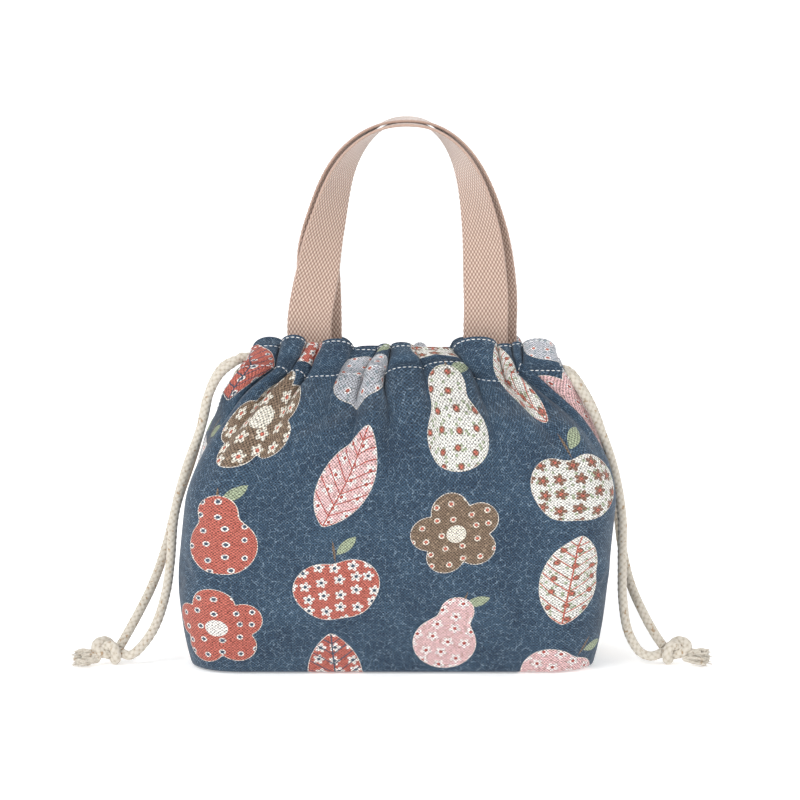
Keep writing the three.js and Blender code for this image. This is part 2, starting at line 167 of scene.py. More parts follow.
def node(tree, kind, *inputs, named=None, stops=(), **settings):
    """Adds a node: its settings, its colour stops, and a value or a link for each input."""
    made = tree.nodes.new("ShaderNode" + kind)
    for setting, value in settings.items():
        setattr(made, setting, value)
    for i, (place, colour) in enumerate(stops):
        ramp = made.color_ramp.elements
        stop = ramp[i] if i < 2 else ramp.new(place)
        stop.position, stop.color = place, colour
    for slot, value in [*enumerate(inputs), *(named or {}).items()]:
        if isinstance(value, bpy.types.Node):
            value = value.outputs[0]
        if isinstance(value, bpy.types.NodeSocket):
            tree.links.new(value, made.inputs[slot])
        elif value is not None:
            made.inputs[slot].default_value = value
    return made


def finish(name, **sockets):
    """A new finish: its node tree and its surface, with the values that are the same all over."""
    made = bpy.data.materials.new(name)
    made.use_nodes = True
    surface = made.node_tree.nodes["Principled BSDF"]
    for socket, value in sockets.items():
        surface.inputs[socket.replace("_", " ").title().replace("Ior", "IOR")].default_value = value
    return made, made.node_tree, surface


def cloth_place(tree, across=1000, along=1000):
    """A spot's place on the flat cloth, in mm."""
    flat = node(tree, "UVMap", uv_map="cloth")
    return node(tree, "VectorMath", flat, (across, along, 0), operation="MULTIPLY")


def coat(tree, surface, colour, height=None, strength=0, depth=0):
    """Gives a surface its colour and, from a height, its bumps, so many mm deep."""
    tree.links.new(colour.outputs[0], surface.inputs["Base Color"])
    if height is not None:
        bump = node(tree, "Bump", named={"Strength": strength, "Distance": depth * MM, "Height": height})
        tree.links.new(bump.outputs[0], surface.inputs["Normal"])


# Cotton canvas, plain woven and pigment printed: matt, with a heathered slate ground, pale scrolling lines
# and patterned fruit and blossom on it, the threads showing through the print as painted shade and painted
# light.
printed_canvas, tree, surface = finish("printed_cotton_canvas", roughness=0.88, ior=1.46, sheen_weight=0.12)
MOTIF_WIDTH, MOTIF_HEIGHT = 64, 62  # one repeat of the print; every second column drops by half
MOTIF_SIZE, MOTIF_TURN = 1.18, 0.9  # mm to a unit of the outlines, and the spread of the turns, in radians
place = cloth_place(tree)
across = node(tree, "SeparateXYZ", place)
column = node(tree, "Math", across.outputs["X"], MOTIF_WIDTH, operation="DIVIDE")
column = node(tree, "Math", column, operation="FLOOR")
drop = node(tree, "Math", column, 2, operation="FLOORED_MODULO")
raised = node(tree, "Math", drop, MOTIF_HEIGHT / 2, across.outputs["Y"], operation="MULTIPLY_ADD")
row = node(tree, "Math", raised, MOTIF_HEIGHT, operation="DIVIDE")
row = node(tree, "Math", row, operation="FLOOR")
repeat = node(tree, "CombineXYZ", column, row)
chance = node(tree, "TexWhiteNoise", repeat, noise_dimensions="2D")
x = node(tree, "Math", across.outputs["X"], MOTIF_WIDTH / 2, operation="SUBTRACT")
x = node(tree, "Math", column, -MOTIF_WIDTH, x, operation="MULTIPLY_ADD")
y = node(tree, "Math", raised, MOTIF_HEIGHT / 2, operation="SUBTRACT")
y = node(tree, "Math", row, -MOTIF_HEIGHT, y, operation="MULTIPLY_ADD")
local = node(tree, "CombineXYZ", x, y)
turn = node(tree, "Math", chance.outputs["Value"], MOTIF_TURN, -MOTIF_TURN / 2, operation="MULTIPLY_ADD")
local = node(tree, "VectorRotate", local, rotation_type="Z_AXIS", named={"Angle": turn})
local = node(tree, "VectorMath", local, operation="SCALE", named={"Scale": 1 / MOTIF_SIZE})
kind = node(tree, "Math", row, 2, column, operation="MULTIPLY_ADD")
kind = node(tree, "Math", kind, 4, operation="FLOORED_MODULO")
# Outlines from circles, some 42 units tall: how softly and which way they join, their places and radii.
petals = [math.tau * (i / 5 + 0.25) for i in range(5)]
petals = [(12.5 * math.cos(a), 12.5 * math.sin(a), 9) for a in petals]
OUTLINES = [
    (9, "SMOOTH_MIN", [(0, -8, 15), (0, 11, 8)]),
    (5, "SMOOTH_MIN", [(-7, -2, 13.5), (7, -2, 13.5), (-4.5, -8, 12), (4.5, -8, 12)]),
    (2, "SMOOTH_MIN", [(0, 0, 7), *petals]),
    (3, "SMOOTH_MAX", [(-17, 0, 30), (17, 0, 30)]),
]


def outline(softness, joining, rounds):
    """How far outside the joined circles a spot is."""
    joined = None
    for rx, ry, radius in rounds:
        gap = node(tree, "VectorMath", local, (rx, ry, 0), operation="DISTANCE")
        gap = node(tree, "Math", gap.outputs["Value"], radius, operation="SUBTRACT")
        joined = gap if joined is None else node(tree, "Math", joined, gap, softness, operation=joining)
    return joined


shape = 0
for index, parts in enumerate(OUTLINES):
    chosen = node(tree, "Math", kind, index, 0.5, operation="COMPARE")
    shape = node(tree, "Math", chosen, outline(*parts), shape, operation="MULTIPLY_ADD")
inside = node(tree, "Math", shape, 0, operation="LESS_THAN")
# A fruit's stalk and leaf, each where two circles overlap.
fruit = node(tree, "Math", kind, 1.5, operation="LESS_THAN")
trimmings = []
for rounds in ([(-29, 16.5, 30.6), (31, 17.5, 30.6)], [(3, 24, 9), (11, 14, 9)]):
    both = node(tree, "Math", outline(0, "MAXIMUM", rounds), 0, operation="LESS_THAN")
    trimmings.append(node(tree, "Math", both, fruit, operation="MULTIPLY"))
# Small blossoms or dots that fill a motif, about 9 mm apart, and specks between them.
sprig = node(tree, "TexVoronoi", local, voronoi_dimensions="2D", named={"Scale": 1 / 7.6, "Randomness": 0.3})
away = node(tree, "VectorMath", local, sprig.outputs["Position"], operation="SUBTRACT")
far = node(tree, "VectorMath", away, operation="LENGTH").outputs["Value"]
away = node(tree, "SeparateXYZ", away)
petal = node(tree, "Math", away.outputs["Y"], away.outputs["X"], operation="ARCTAN2")
petal = node(tree, "Math", petal, 2.5, operation="MULTIPLY")
petal = node(tree, "Math", petal, operation="COSINE")
petal = node(tree, "Math", petal, operation="ABSOLUTE")
dotted = node(tree, "SeparateColor", chance.outputs["Color"])
frilly = node(tree, "Math", dotted.outputs["Green"], 0.45, operation="GREATER_THAN")
frill = node(tree, "Math", petal, frilly, operation="MULTIPLY")
reach = node(tree, "Math", frilly, -0.1, 1.5, operation="MULTIPLY_ADD")
reach = node(tree, "Math", frill, 1.5, reach, operation="MULTIPLY_ADD")
blossom = node(tree, "Math", far, reach, operation="LESS_THAN")
heart = node(tree, "Math", far, 0.85, operation="LESS_THAN")
speck = node(tree, "TexVoronoi", local, voronoi_dimensions="2D", named={"Scale": 1 / 3.6})
speck = node(tree, "Math", speck.outputs["Distance"], 0.2, operation="LESS_THAN")
tone = dotted.outputs["Red"]
TONES = [  # share of the repeats, motif, its blossoms, their hearts and the specks between
    (0.0, "#6e5c4c", "#cbc6ba", "#b0604f", "#85725f"),
    (0.2, "#a65a4e", "#cfcbc7", "#3d4a5a", "#9a4f44"),
    (0.42, "#cbc9c4", "#7c5c4d", "#ad5e4f", "#939c82"),
    (0.64, "#a9abb1", "#cfcccb", "#ad5e4f", "#848f95"),
    (0.82, "#c9a6a6", "#d2ccca", "#9f4a41", "#b18f8b"),
]
layers = [node(tree, "ValToRGB", tone, stops=[(t[0], linear(t[i])) for t in TONES]) for i in range(1, 5)]
for layer in layers:
    layer.color_ramp.interpolation = "CONSTANT"
motif = node(tree, "MixRGB", speck, layers[0], layers[3])
motif = node(tree, "MixRGB", blossom, motif, layers[1])
motif = node(tree, "MixRGB", heart, motif, layers[2])
# A leaf's midrib and side veins, 7 mm apart, and the disc in the middle of a large blossom.
lx = node(tree, "SeparateXYZ", local)
off = node(tree, "Math", lx.outputs["X"], operation="ABSOLUTE")
veins = node(tree, "Math", off, -0.8, lx.outputs["Y"], operation="MULTIPLY_ADD")
veins = node(tree, "Math", veins, 3, operation="PINGPONG")
veins = node(tree, "Math", veins, off, operation="MINIMUM")
veins = node(tree, "Math", veins, 0.35, operation="LESS_THAN")
leafy = node(tree, "Math", kind, 3, 0.5, operation="COMPARE")
veins = node(tree, "Math", veins, leafy, operation="MULTIPLY")
motif = node(tree, "MixRGB", veins, motif, layers[2])
middle = node(tree, "VectorMath", local, operation="LENGTH").outputs["Value"]
disc = node(tree, "Math", middle, 4.6, operation="LESS_THAN")
large = node(tree, "Math", kind, 2, 0.5, operation="COMPARE")
disc = node(tree, "Math", disc, large, operation="MULTIPLY")
motif = node(tree, "MixRGB", disc, motif, layers[1])
ridge = node(tree, "Math", shape, operation="ABSOLUTE")
ridge = node(tree, "Math", ridge, 0.3, operation="LESS_THAN")
motif = node(tree, "MixRGB", ridge, motif, linear("#c8c3bb"))
# Slate ground: dye that took unevenly over some 25 mm, then threads that differ one from the next.
dye = node(tree, "TexNoise", place, named={"Scale": 1 / 25, "Detail": 3, "Roughness": 0.6})
ground = node(tree, "ValToRGB", dye.outputs[0], stops=[(0.35, linear("#22364a")), (0.65, linear("#30465a"))])
# Scrolling lines about 0.4 mm wide: the edges between wavering cells, broken into short lengths.
for size, sway, seed in ((5.6, 6, 0.0), (3.9, 5, 40.0)):
    shifted = node(tree, "VectorMath", place, (seed, seed * 0.7, 0), operation="ADD")
    sways = node(tree, "TexNoise", shifted, named={"Scale": 1 / (0.8 * size), "Detail": 1})
    sways = node(tree, "VectorMath", sways.outputs["Color"], (0.5, 0.5, 0.5), operation="SUBTRACT")
    swayed = node(tree, "VectorMath", sways, (sway, sway, 0), shifted, operation="MULTIPLY_ADD")
    cells = node(
        tree, "TexVoronoi", swayed, voronoi_dimensions="2D", feature="DISTANCE_TO_EDGE",
        named={"Scale": 1 / size},
    )
    line = node(tree, "MapRange", cells.outputs["Distance"], 0.06 / size, 0.26 / size, 1.0, 0.0)
    broken = node(tree, "TexNoise", shifted, named={"Scale": 1 / 4, "Detail": 1})
    broken = node(tree, "MapRange", broken.outputs[0], 0.4, 0.6, 0.04, 0.42)
    line = node(tree, "Math", line, broken, operation="MULTIPLY")
    ground = node(tree, "MixRGB", line, ground, linear("#869bac"))
printed = node(tree, "MixRGB", trimmings[0], ground, linear("#6b5a49"))
printed = node(tree, "MixRGB", trimmings[1], printed, linear("#8d977e"))
printed = node(tree, "MixRGB", inside, printed, motif)
# The weave: threads 0.5 mm apart, drawn at 0.9 mm so that they show, with slubs both ways.
THREAD = 0.9
warp = node(tree, "Math", across.outputs["X"], math.pi / THREAD, operation="MULTIPLY")
weft = node(tree, "Math", across.outputs["Y"], math.pi / THREAD, operation="MULTIPLY")
weave = node(
    tree, "Math", node(tree, "Math", warp, operation="SINE"), node(tree, "Math", weft, operation="SINE"),
    operation="MULTIPLY",
)
slub = node(tree, "TexNoise", place, named={"Scale": 1 / THREAD, "Detail": 2, "Roughness": 0.7})
threads = node(tree, "Math", weave, 0.16, slub.outputs[0], operation="MULTIPLY_ADD")
# The weave's height painted into the colour: painted shade in its grooves and painted light on its crests, with
# the slubs' own uneven tone.
weave_shade_and_slubs = node(tree, "MapRange", threads, 0.3, 0.7, 0.15, 1.75)
printed = node(tree, "MixRGB", 1, printed, weave_shade_and_slubs, blend_type="MULTIPLY")
coat(tree, surface, printed, threads, 0.35, 0.25)

# Plain cotton lining, undyed calico: matt, with thin threads and a few slubs.
calico, tree, surface = finish("calico_lining", roughness=0.9, ior=1.46, sheen_weight=0.08)
place = cloth_place(tree, along=250)  # the slubs are longer than wide
slub = node(tree, "TexNoise", place, named={"Scale": 1 / 1.2, "Detail": 3, "Roughness": 0.6})
shade = node(tree, "ValToRGB", slub.outputs[0], stops=[(0.3, linear("#c9c0ae")), (0.7, linear("#e4ddce"))])
coat(tree, surface, shade, slub, 0.3, 0.2)

# Cotton webbing, close woven: small floats set like bricks on a pinkish beige, with a painted highlight on each
# float and painted shade between them.
webbing, tree, surface = finish("cotton_webbing", roughness=0.72, ior=1.46, sheen_weight=0.65)
place = cloth_place(tree)
across = node(tree, "SeparateXYZ", place)
ends = node(tree, "Math", across.outputs["X"], math.tau / FLOAT_ACROSS, operation="MULTIPLY")
picks = node(tree, "Math", across.outputs["Y"], math.tau / FLOAT_ALONG, operation="MULTIPLY")
floats = node(
    tree, "Math", node(tree, "Math", ends, operation="COSINE"), node(tree, "Math", picks, operation="COSINE"),
    operation="MULTIPLY",
)
yarn = node(tree, "TexNoise", place, named={"Scale": 1 / 0.7, "Detail": 2})
height = node(tree, "Math", yarn.outputs[0], 0.5, floats, operation="MULTIPLY_ADD")
# The height of floats and yarn painted into the colour: painted highlights on the floats, painted shade in the
# gaps, with the yarn's uneven tone.
shade = node(
    tree, "ValToRGB", node(tree, "MapRange", height, -0.75, 1.25, 0.0, 1.0),
    stops=[(0.05, linear("#85695a")), (0.92, linear("#e0c9ba")), (0.5, linear("#b19485"))],
)
coat(tree, surface, shade, height, 0.6, 0.4)

# Undyed cotton cord, plaited: soft, matt and cream, lighter on the crests and darker down in the plait, a
# painted shade.
cotton_cord, tree, surface = finish("plaited_cotton_cord", roughness=0.92, ior=1.46, sheen_weight=0.25)
crest = node(tree, "Attribute", attribute_name="crest")
spot = node(tree, "TexCoord").outputs["Object"]
# Lint of about 1 mm, and flecks of seed husk, some 1 mm across.
fibre = node(tree, "TexNoise", spot, named={"Scale": 1 / 0.0011, "Detail": 3, "Roughness": 0.7})
level = node(tree, "Math", fibre.outputs[0], 0.45, -0.22, operation="MULTIPLY_ADD")
# How proud each spot of a plait or of a yarn's twist is, painted into the colour: painted shade in the grooves,
# painted light on the crests.
level = node(tree, "Math", crest.outputs["Fac"], level, operation="ADD")
shade = node(
    tree, "ValToRGB", level,
    stops=[(0.05, linear("#7d6c57")), (0.85, linear("#cfc8bc")), (0.4, linear("#b3a998"))],
)
fleck = node(tree, "TexNoise", spot, named={"Scale": 1 / 0.0024, "Detail": 1})
fleck = node(tree, "MapRange", fleck.outputs[0], 0.62, 0.72, 0.0, 0.75)
shade = node(tree, "MixRGB", fleck, shade, linear("#94744c"))
coat(tree, surface, shade, fibre, 0.35, 0.3)

# White sewing thread, spun polyester: a slight gloss on each stitch, with a little grime.
thread, tree, surface = finish("sewing_thread", roughness=0.55, ior=1.5, sheen_weight=0.1)
soil = node(tree, "TexCoord").outputs["Object"]
soil = node(tree, "TexNoise", soil, named={"Scale": 1 / 0.006, "Detail": 2})
shade = node(tree, "ValToRGB", soil.outputs[0], stops=[(0.3, linear("#cfd3d6")), (0.65, linear("#f3f3f1"))])
coat(tree, surface, shade)


# ---- making meshes
def new_mesh():
    """An empty mesh with the layers that the finishes read."""
    bm = bmesh.new()
    bm.loops.layers.uv.new("cloth")
    # How proud a cord's spot is; the cord finish paints shade from it into the grooves.
    bm.verts.layers.float.new("crest")
    return bm


def grid(bm, columns, rows, put):
    """A sheet of that many quads. put(column, row) gives a point and its place on the cloth, in mm."""
    uv = bm.loops.layers.uv["cloth"]
    made = bmesh.ops.create_grid(bm, x_segments=columns, y_segments=rows, size=0.5)["verts"]
    spots = {v: (round((v.co.x + 0.5) * columns), round((v.co.y + 0.5) * rows)) for v in made}
    for face in {f for v in made for f in v.link_faces}:
        for loop in face.loops:
            loop[uv].uv = [c * MM for c in put(*spots[loop.vert])[1]]
    for v in made:
        v.co = put(*spots[v])[0] * MM
    return spots


def close_tube(bm, spots, sides):
    """Joins a rolled sheet along its seam and fills its ends."""
    seam = [v for v, (i, j) in spots.items() if i in (0, sides)]
    bmesh.ops.remove_doubles(bm, verts=seam, dist=1e-6)
    bmesh.ops.holes_fill(bm, edges=[e for e in bm.edges if e.is_boundary])


def finished(bm, name, finish_used):
    """The mesh as an object in that finish."""
    mesh = bpy.data.meshes.new(name)
    bm.to_mesh(mesh)
    bm.free()
    mesh.shade_smooth()
    mesh.materials.append(finish_used)
    made = bpy.data.objects.new(name, mesh)
    scene.collection.objects.link(made)
    return made


def piece(bm, name, finish_used, body, slot, *nodes):
    """The mesh as a finished piece that rides on a body and stands for those solids."""
    made = finished(bm, name, finish_used)
    if body:
        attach(made, body)
    if nodes:
        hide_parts(*nodes)
    return made


def flowing_line(points, steps=24):
    """A smooth line through the points, with that many steps from each to the next."""
    points = [Vector(p) for p in points]
    points = [2 * points[0] - points[1], *points, 2 * points[-1] - points[-2]]
    line = []
    for a, b, c, d in zip(points, points[1:], points[2:], points[3:]):
        ta, tb, tc = ((q - p).length ** 0.5 for p, q in ((a, b), (b, c), (c, d)))
        leave = ((b - a) / ta - (c - a) / (ta + tb) + (c - b) / tb) * tb
        arrive = ((c - b) / tb - (d - b) / (tb + tc) + (d - c) / tc) * tb
        for i in range(steps):
            t = i / steps
            bend = 3 * (c - b) - 2 * leave - arrive
            line.append(b + leave * t + bend * t**2 + (2 * (b - c) + leave + arrive) * t**3)
    return [*line, points[-2]]


def distances(line):
    """How far along the line each of its points is."""
    run = [0.0]
    for a, b in zip(line, line[1:]):
        run.append(run[-1] + (b - a).length)
    return run


def even_steps(line, step):
    """The line again, in even steps of about that length."""
    lengths = distances(line)
    count = max(4, round(lengths[-1] / step))
    even, at = [], 0
    for i in range(count + 1):
        want = lengths[-1] * i / count
        while at < len(line) - 2 and lengths[at + 1] < want:
            at += 1
        share = (want - lengths[at]) / max(lengths[at + 1] - lengths[at], 1e-9)
        even.append(line[at].lerp(line[at + 1], share))
    return even


def round_cord(bm, line, surface_at, sides):
    """A cord round the line. surface_at(turn, along) gives its radius there and how proud that spot is."""
    crest = bm.verts.layers.float["crest"]
    alongs = [(b - a).normalized() for a, b in zip([line[0], *line], [*line[1:], line[-1]])]
    frames = [alongs[0].orthogonal().normalized()]
    for a, b in zip(alongs, alongs[1:]):
        frames.append((a.rotation_difference(b) @ frames[-1]).normalized())
    travel = distances(line)
    known = {}

    def put(i, j):
        """A spot of the cord, its place on the cord rolled flat, and how proud it is."""
        if (i, j) not in known:
            radius, proud = surface_at(i % sides / sides, travel[j])
            angle = math.tau * i / sides
            out = frames[j] * math.cos(angle) + alongs[j].cross(frames[j]) * math.sin(angle)
            known[i, j] = line[j] + out * radius, (math.tau * CORD_DIAMETER / 2 * i / sides, travel[j]), proud
        return known[i, j]

    spots = grid(bm, sides, len(line) - 1, put)
    for v, spot in spots.items():
        v[crest] = known[spot][2]
    close_tube(bm, spots, sides)


PLAIT_STRANDS, PLAIT_STEP, PLAIT_RELIEF = 4, 3.6, 0.55  # each way round, mm between them along, mm deep


def plait(turn, along):
    """How high the plait stands at a spot, from 0 in the grooves to 1 on a crest."""
    ways = PLAIT_STRANDS * turn + along / PLAIT_STEP, PLAIT_STRANDS * turn - along / PLAIT_STEP
    high = 0
    for a, b, over in ((ways[0], ways[1], 1), (ways[1], ways[0], -1)):
        strand = round(a)
        body = math.sqrt(max(0, 1 - (2.05 * (a - strand)) ** 2))
        high = max(high, 0.66 * body + 0.34 * over * math.cos(math.pi * (b + strand)))
    return high


def plaited(radius):
    """A plaited cord's surface."""
    return lambda turn, along: (radius - PLAIT_RELIEF * (1 - plait(turn, along)), plait(turn, along))


def twisted(radius, plies, lay, phase):
    """A yarn's surface: plies twisted together."""

    def surface_at(turn, along):
        high = abs(math.cos(math.pi * (plies * turn + along / lay + phase)))
        return radius * (0.78 + 0.22 * high), 0.35 + 0.65 * high

    return surface_at


def overhand_knot():
    """The two cords tied in one overhand knot, along +X: a band round them, a fat loop over, an end out."""
    return flowing_line([
        (-9.5, 0, -1.2), (-4, -0.6, -1.6), (2.5, -0.8, -0.4), (6.4, 0.2, 2.6), (4.6, 1.8, 5.0),
        (-0.4, 3.4, 5.2), (-4.2, 4.8, 1.6), (-4.6, 2.6, -3.4), (-4.0, -2.4, -4.4), (-3.4, -5.2, -0.4),
        (-2.2, -3.6, 3.6), (0.6, -0.4, 3.2), (3.4, 1.6, 0.2), (7.6, 1.6, -2.4), (10.5, 1.2, -3.4),
    ])


# ---- the drawn mouth
FLANK_STEPS, FLANK_FULLNESS = 12, 0.14  # points from a valley to its crest, and how far they bulge
mouth_line = []
for k, (start, end) in enumerate(zip(GATHERS, GATHERS[1:])):
    rising = k % 2 == 0
    valley, crest = (start, end) if rising else (end, start)
    for i in range(FLANK_STEPS):
        turn = math.pi / 2 * (i if rising else FLANK_STEPS - i) / FLANK_STEPS
        rest = math.cos(turn) * (1 + FLANK_FULLNESS * math.sin(turn))
        levels = [lerp(v, c, math.sin(turn)) for v, c in zip(valley[1:], crest[1:])]
        mouth_line.append(Vector((lerp(crest[0], valley[0], rest), *levels)))
mouth_line = even_steps([*mouth_line, Vector(GATHERS[-1])], step=1.0)


def gathered(share):
    """A spot along the drawn mouth: its place, the fold's depth, the heights of stitch line and top edge."""
    at = share * (len(mouth_line) - 1)
    low = min(int(at), len(mouth_line) - 2)
    return mouth_line[low].lerp(mouth_line[low + 1], at - low)


# ---- drawcords
def slump(z):
    """How far the filled bag has sunk to the right at a height."""
    return lerp(*SLUMP, smooth(35, 120, z)) * (1 - smooth(136, 154, z))


def laid(points, hand):
    """A knot's points where it lies beside the bag."""
    heading = KNOT_HEADING if hand > 0 else math.pi - KNOT_HEADING
    at = Vector((hand * KNOT_REACH["right" if hand > 0 else "left"], -KNOT_FORWARD, KNOT_LIFT))
    turned = Matrix.Rotation(heading, 3, "Z")
    return [turned @ Vector((x, hand * y, z)) + at for x, y, z in points]


for name, hand, level in (("left", -1, 169), ("right", 1, 163)):
    rng = random.Random(name)
    body = name + "_cord"
    # The knot, in which the cord has opened up a little.
    bm = new_mesh()
    round_cord(bm, even_steps(laid(overhand_knot(), hand), step=0.5), plaited(KNOT_CORD), sides=26)
    knot = piece(bm, name + "_knot", cotton_cord, body, "cotton_cord", name + "_cord_knot")
    # The cut ends, come unplaited into a fat tuft of crimped yarns that lies on the floor.
    bm = new_mesh()
    floor_level = 0.15 - KNOT_LIFT
    for i in range(YARNS):
        spread, around = math.sqrt(rng.random()), rng.uniform(0, math.tau)
        side, tall = spread * math.cos(around), spread * math.sin(around)
        thick = rng.uniform(0.9, 1.25)
        length = rng.uniform(11.5, 15) - 2 * spread
        crimp = rng.uniform(0, math.tau)
        points = []
        for k in range(9):
            x, open_out = lerp(4.5, 4.5 + length, k / 8), smooth(-0.3, 1, k / 8)
            wave = 0.45 * math.sin(crimp + 1.25 * x)
            points.append(Vector((
                x, TUFT_Y + lerp(2.2, 5.2, open_out) * side + wave,
                max(TUFT_Z + lerp(2.2, 4.4, open_out) * tall + 0.4 * wave, floor_level + thick),
            )))
        twist = twisted(thick, plies=2, lay=rng.uniform(2.6, 3.6), phase=rng.random())
        round_cord(bm, even_steps(laid(flowing_line(points), hand), step=0.7), twist, sides=8)
    for i in range(HAIRS):
        side, tall = rng.uniform(-1, 1), rng.uniform(-1, 1)
        length = rng.uniform(9.5, 13)
        points = [
            Vector((7, 2.6 * side, 2.6 * tall)),
            Vector((7 + length * 0.5, 4.6 * side + rng.uniform(-1, 1), 3.8 * tall - 0.2)),
            Vector((7 + length, 5.6 * side + rng.uniform(-2, 2), 4.4 * tall + rng.uniform(-1.5, 1.5) - 0.4)),
        ]
        points = [Vector((p.x, TUFT_Y + p.y, max(TUFT_Z + p.z, floor_level + 0.2))) for p in points]
        hair_line = even_steps(laid(flowing_line(points), hand), step=1.8)
        round_cord(bm, hair_line, lambda turn, along: (HAIR, 0.9), sides=4)
    frayed = piece(bm, name + "_frayed_ends", cotton_cord, body, "cotton_cord", name + "_cord_frayed_ends")
    # The two tails: straight in their casings, then down the side of the bag to the knot.
    low = level - BACK_DROP
    for lip, y, z, route in zip(("front", "back"), (-CORD_OFFSET, CORD_OFFSET), (level, low), TAILS[name]):
        inner = Vector((hand * (CASING_HALF - CORD_STUB), y, z))
        mouth = Vector((hand * (CASING_HALF + 3), y, z))
        route = [(hand * px + (max(slump(pz), 0) if hand < 0 else 0), py, pz) for px, py, pz in route]
        line = even_steps([inner, *flowing_line([mouth, *route])], step=0.55)
        bm = new_mesh()
        round_cord(bm, line, plaited(CORD_DIAMETER / 2), sides=30)
        tail = piece(bm, f"{name}_{lip}_tail", cotton_cord, body, "cotton_cord", f"{name}_cord_{lip}_tail")
        length = distances(line)[-1]
    # The stretch that stays in the casings and turns round the far slit.
    near = hand * (CASING_HALF - CORD_STUB - 0.3)
    far = -hand * (CASING_HALF - TURN_INSET - TURN_RADIUS)
    bend, slant = far - hand * TURN_RADIUS * math.sqrt(0.5), TURN_RADIUS * (1 - math.sqrt(0.5))
    outer, flat = far - hand * TURN_RADIUS, CORD_OFFSET - TURN_RADIUS
    turn = [
        (far, -CORD_OFFSET, level), (bend, slant - CORD_OFFSET, level), (outer, -flat, level),
        (outer, flat, low), (bend, CORD_OFFSET - slant, low), (far, CORD_OFFSET, low),
    ]
    line = [Vector((near, -CORD_OFFSET, level)), *flowing_line(turn), Vector((near, CORD_OFFSET, low))]
    bm = new_mesh()
    round_cord(bm, even_steps(line, step=0.8), plaited(CORD_DIAMETER / 2), sides=20)
    piece(bm, name + "_loop", cotton_cord, "bag", "cotton_cord", name + "_cord_loop")


# ---- the bag's cloth
COLUMNS, BASE_ROWS, WALL_ROWS, CASING_ROWS, LINING_ROWS = 156, 5, 56, 10, 4
FRONT_ROWS = WALL_ROWS + CASING_ROWS
CUT_WIDTH = (
    2 * (BASE_DEPTH / 2 - CORNER_RADIUS) + math.pi * CORNER_RADIUS + 2 * (BASE_WIDTH / 2 - CORNER_RADIUS)
)
CUT_TOP, CUT_HEIGHT = CUT_WALL + CUT_CASING, CUT_WALL + 2 * CUT_CASING + CUT_FOLD
SETTLE_FRAMES = 40
EASE = 9 / 16, 3 / 32, 1 / 64  # weights of a spot, its neighbours and its corners


def base_outline(share):
    """Half of the base's edge, from the left seam round the front to the right: a point and its way out."""
    x, y, r = BASE_WIDTH / 2, BASE_DEPTH / 2, CORNER_RADIUS
    side, arc, front = y - r, math.pi / 2 * r, 2 * (x - r)
    d = share * (2 * side + 2 * arc + front)
    if d <= side:
        return Vector((-x, -d)), Vector((-1, 0))
    d -= side
    if d <= arc:
        a = math.pi + d / r
        return Vector((r - x + r * math.cos(a), r - y + r * math.sin(a))), Vector((math.cos(a), math.sin(a)))
    d -= arc
    if d <= front:
        return Vector((r - x + d, -y)), Vector((0, -1))
    d -= front
    if d <= arc:
        a = 1.5 * math.pi + d / r
        return Vector((x - r + r * math.cos(a), r - y + r * math.sin(a))), Vector((math.cos(a), math.sin(a)))
    return Vector((x, d - arc - side)), Vector((1, 0))


def casing_at(share, up, behind=False):
    """The casing's cloth from its stitch line to its top, in front of the cords or behind them."""
    g = gathered(share)
    room = math.sin(math.pi * up)
    hem = -LIP_OFFSET - lerp(3.2, -0.5, up) - STITCH_FOLD * g.y
    # Towards the stitch line the folds lean away from the middle, apart from the outermost ones, and waver.
    far = abs(g.x)
    lean = math.copysign(9 * math.sin(math.pi * min(far / 72, 1)) - 4 * smooth(70, 86, far), g.x)
    x = g.x + lean * (1 - up) + 9 * (up - 0.5) * noise.noise(Vector((g.x * 0.045, 0, 8)))
    z = lerp(g.z, g.w - 1.8, up)
    uneven = noise.noise(Vector((x * 0.11, z * 0.06, 3.7)))
    if behind:
        return Vector((x, lerp(hem + 1.1, -9.3, room**0.7), z))
    return Vector((x + 1.6 * uneven * room, hem - (3.6 + 0.15 * g.y) * room - 2 * uneven * room, z))


def swollen(share, h):
    """The full wall at a height, before the mouth is drawn in."""
    p, out = base_outline(share)
    return p + out * lerp(SWELL, FACE_SWELL, abs(out.y)) * (1 - (1 - min(h / SWELL_HEIGHT, 1)) ** 2.5)


def sewn_shape(share, row):
    """Where the wall's cloth starts before it settles."""
    g, top = gathered(share), casing_at(share, 0)
    h = row / WALL_ROWS * STITCH_HEIGHT
    full = swollen(share, h)
    lean = min(max((h - TAPER_START) / (STITCH_HEIGHT - TAPER_START), 0), 1) ** TAPER_POWER
    near = 1 - smooth(0, 0.14, min(share, 1 - share))
    part = lerp(lean, smooth(SLIT_STOP, STITCH_HEIGHT, h), near)
    fold = smooth(STITCH_HEIGHT - 65, STITCH_HEIGHT, h)
    y = lerp(full.y, top.y + STITCH_FOLD * g.y, part) - STITCH_FOLD * g.y * fold
    return Vector((lerp(full.x, top.x, lean), min(y, 0), h + (top.z - STITCH_HEIGHT) * fold))


def cut_shape(share, row):
    """The same cloth as it was cut: straight up, a little narrower towards the mouth."""
    h = row / WALL_ROWS * CUT_WALL
    full = swollen(share, h) * lerp(1, 0.84, smooth(TAPER_START, CUT_WALL, h))
    return Vector((full.x, full.y, h))


